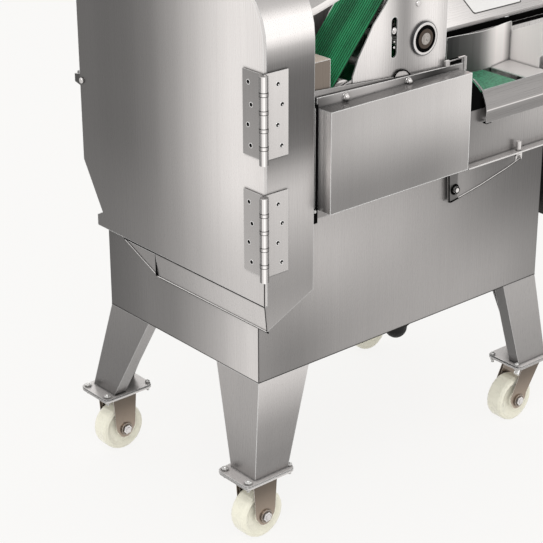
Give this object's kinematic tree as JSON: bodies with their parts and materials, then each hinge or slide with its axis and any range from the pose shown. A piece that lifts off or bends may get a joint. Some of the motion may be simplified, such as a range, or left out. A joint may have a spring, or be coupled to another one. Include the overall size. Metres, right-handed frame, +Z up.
{
  "type": "vegetable cutting machine",
  "caption": "Floor-standing vegetable cutter on casters: feed and press conveyors carry produce into a hooded rotary knife.",
  "frame": {"origin": "middle of the footprint of the whole machine, on the floor", "axes": "+Z up, +X along the machine from the knife hood to the loading end, +Y to its rear"},
  "size_m": [0.7656, 0.475, 0.889],
  "materials": {
    "stainless_sheet": "brushed stainless sheet",
    "bright_steel": "bright polished steel",
    "dark_steel": "dark machined steel",
    "motor_paint": "satin motor enamel",
    "black_rubber": "matte rubber",
    "black_plastic": "matte black plastic",
    "press_belt_green": "ribbed dark green conveyor belt",
    "feed_belt_green": "rough-top green conveyor belt",
    "green_button": "gloss green plastic",
    "red_button": "gloss red plastic",
    "nylon": "cream cast nylon"
  },
  "bodies": {
    "frame": {"base_box": "stainless_sheet", "cable_gland": "black_plastic", "caster_fork_front_left": "bright_steel", "caster_fork_rear_left": "bright_steel", "swivel_plate_front_right": "bright_steel", "swivel_plate_rear_right": "bright_steel", "console_box": "stainless_sheet", "discharge_chute": "stainless_sheet", "drive_guard": "stainless_sheet", "end_housing": "stainless_sheet", "feed_belt": "feed_belt_green", "feed_chain": "dark_steel", "feed_frame": "stainless_sheet", "feed_front_cover": "stainless_sheet", "feed_gearmotor": "motor_paint", "feed_mouth": "stainless_sheet", "gusset_bracket": "stainless_sheet", "hinge_hood_leaf_lower": "bright_steel", "hinge_hood_leaf_upper": "bright_steel", "hood_shell": "stainless_sheet", "knife_belt": "black_rubber", "knife_motor": "motor_paint", "leg_front_left": "stainless_sheet", "leg_front_right": "stainless_sheet", "leg_rear_left": "stainless_sheet", "leg_rear_right": "stainless_sheet", "loading_plate": "stainless_sheet", "press_stand": "stainless_sheet", "rail_plate": "stainless_sheet", "rear_cabinet": "stainless_sheet", "stay_bar": "bright_steel"},
    "door": {"knife_door": "stainless_sheet", "hinge_door_leaf_lower": "bright_steel", "hinge_door_leaf_upper": "bright_steel"},
    "door_screw": {"door_screw": "bright_steel"},
    "knife_rotor": {"knife_shaft": "bright_steel", "knife_disc": "bright_steel", "knife_blade_a": "bright_steel", "knife_blade_b": "bright_steel"},
    "motor_rotor": {"motor_pulley": "dark_steel"},
    "feed_drive": {"feed_drive_roller": "bright_steel"},
    "feed_tail": {"feed_tail_roller": "bright_steel"},
    "feed_pinion": {"feed_pinion": "dark_steel"},
    "press_head": {"press_arm": "stainless_sheet", "press_bearing": "dark_steel", "press_belt": "press_belt_green"},
    "press_drive": {"press_drive_roller": "bright_steel"},
    "press_nose": {"press_nose_roller": "bright_steel"},
    "press_top": {"press_top_roller": "bright_steel"},
    "swivel_front_right": {"swivel_fork_front_right": "bright_steel"},
    "swivel_rear_right": {"swivel_fork_rear_right": "bright_steel"},
    "wheel_front_left": {"caster_wheel_front_left": "nylon"},
    "wheel_rear_left": {"caster_wheel_rear_left": "nylon"},
    "wheel_front_right": {"caster_wheel_front_right": "nylon"},
    "wheel_rear_right": {"caster_wheel_rear_right": "nylon"},
    "start_button": {"start_button": "green_button"},
    "stop_button": {"stop_button": "red_button"},
    "emergency_button": {"emergency_button": "red_button"},
    "speed_knob": {"speed_knob": "black_plastic"},
    "wing_bolt": {"wing_bolt": "bright_steel"}
  },
  "joints": [
    {"name": "door_hinge", "type": "hinge", "parent": "frame", "child": "door", "pos_m": [-0.37025, -0.222, 0.6055], "axis": [0, 0, 1], "range_deg": [0, 110]},
    {"name": "door_screw_turn", "type": "hinge", "parent": "door", "child": "door_screw", "pos_m": [-0.36525, 0.214, 0.6445], "axis": [1, 0, 0], "continuous": true},
    {"name": "knife_spin", "type": "hinge", "parent": "frame", "child": "knife_rotor", "pos_m": [-0.31225, 0.0025, 0.669], "axis": [1, 0, 0], "continuous": true},
    {"name": "motor_spin", "type": "hinge", "parent": "frame", "child": "motor_rotor", "pos_m": [-0.22525, 0.0025, 0.3613], "axis": [1, 0, 0], "continuous": true},
    {"name": "feed_drive_spin", "type": "hinge", "parent": "frame", "child": "feed_drive", "pos_m": [-0.20725, -0.157, 0.6085], "axis": [0, 1, 0], "continuous": true},
    {"name": "feed_tail_spin", "type": "hinge", "parent": "frame", "child": "feed_tail", "pos_m": [0.16025, -0.157, 0.6085], "axis": [0, 1, 0], "continuous": true},
    {"name": "feed_pinion_spin", "type": "hinge", "parent": "frame", "child": "feed_pinion", "pos_m": [-0.05725, -0.2235, 0.553], "axis": [0, 1, 0], "continuous": true},
    {"name": "press_lift", "type": "hinge", "parent": "frame", "child": "press_head", "pos_m": [-0.05025, -0.157, 0.7425], "axis": [0, 1, 0], "range_deg": [0, 7]},
    {"name": "press_drive_spin", "type": "hinge", "parent": "frame", "child": "press_drive", "pos_m": [-0.05025, -0.157, 0.7425], "axis": [0, 1, 0], "continuous": true},
    {"name": "press_nose_spin", "type": "hinge", "parent": "press_head", "child": "press_nose", "pos_m": [-0.20525, -0.157, 0.6905], "axis": [0, 1, 0], "continuous": true},
    {"name": "press_top_spin", "type": "hinge", "parent": "press_head", "child": "press_top", "pos_m": [-0.10745, -0.157, 0.804], "axis": [0, 1, 0], "continuous": true},
    {"name": "swivel_front_right_turn", "type": "hinge", "parent": "frame", "child": "swivel_front_right", "pos_m": [0.26275, -0.159, 0.0993], "axis": [0, 0, 1], "continuous": true},
    {"name": "swivel_rear_right_turn", "type": "hinge", "parent": "frame", "child": "swivel_rear_right", "pos_m": [0.26275, 0.201, 0.0993], "axis": [0, 0, 1], "continuous": true},
    {"name": "wheel_front_left_spin", "type": "hinge", "parent": "frame", "child": "wheel_front_left", "pos_m": [-0.33525, -0.159, 0.04], "axis": [0, 1, 0], "continuous": true},
    {"name": "wheel_rear_left_spin", "type": "hinge", "parent": "frame", "child": "wheel_rear_left", "pos_m": [-0.33525, 0.201, 0.04], "axis": [0, 1, 0], "continuous": true},
    {"name": "wheel_front_right_spin", "type": "hinge", "parent": "swivel_front_right", "child": "wheel_front_right", "pos_m": [0.23475, -0.159, 0.04], "axis": [0, 1, 0], "continuous": true},
    {"name": "wheel_rear_right_spin", "type": "hinge", "parent": "swivel_rear_right", "child": "wheel_rear_right", "pos_m": [0.23475, 0.201, 0.04], "axis": [0, 1, 0], "continuous": true},
    {"name": "start_press", "type": "slide", "parent": "frame", "child": "start_button", "axis": [0, 0.5878, -0.809], "range_m": [0, 0.003], "stiffness_N_per_m": 400, "springref_m": -0.001},
    {"name": "stop_press", "type": "slide", "parent": "frame", "child": "stop_button", "axis": [0, 0.5878, -0.809], "range_m": [0, 0.003], "stiffness_N_per_m": 400, "springref_m": -0.001},
    {"name": "emergency_press", "type": "slide", "parent": "frame", "child": "emergency_button", "axis": [0, 0.5878, -0.809], "range_m": [0, 0.004], "stiffness_N_per_m": 600, "springref_m": -0.001},
    {"name": "speed_knob_turn", "type": "hinge", "parent": "frame", "child": "speed_knob", "pos_m": [0.13275, 0.05217, 0.81354], "axis": [0, -0.5878, 0.809], "range_deg": [0, 270]},
    {"name": "wing_bolt_turn", "type": "hinge", "parent": "frame", "child": "wing_bolt", "pos_m": [0.16475, -0.2093, 0.52], "axis": [0, 0, 1], "continuous": true}
  ],
  "couplings": [
    {"joint": "motor_spin", "follows": "knife_spin", "ratio": 1.7143},
    {"joint": "feed_tail_spin", "follows": "feed_drive_spin", "ratio": 1},
    {"joint": "feed_pinion_spin", "follows": "feed_drive_spin", "ratio": 2},
    {"joint": "press_nose_spin", "follows": "press_drive_spin", "ratio": 1.2308},
    {"joint": "press_top_spin", "follows": "press_drive_spin", "ratio": 1.2308}
  ]
}
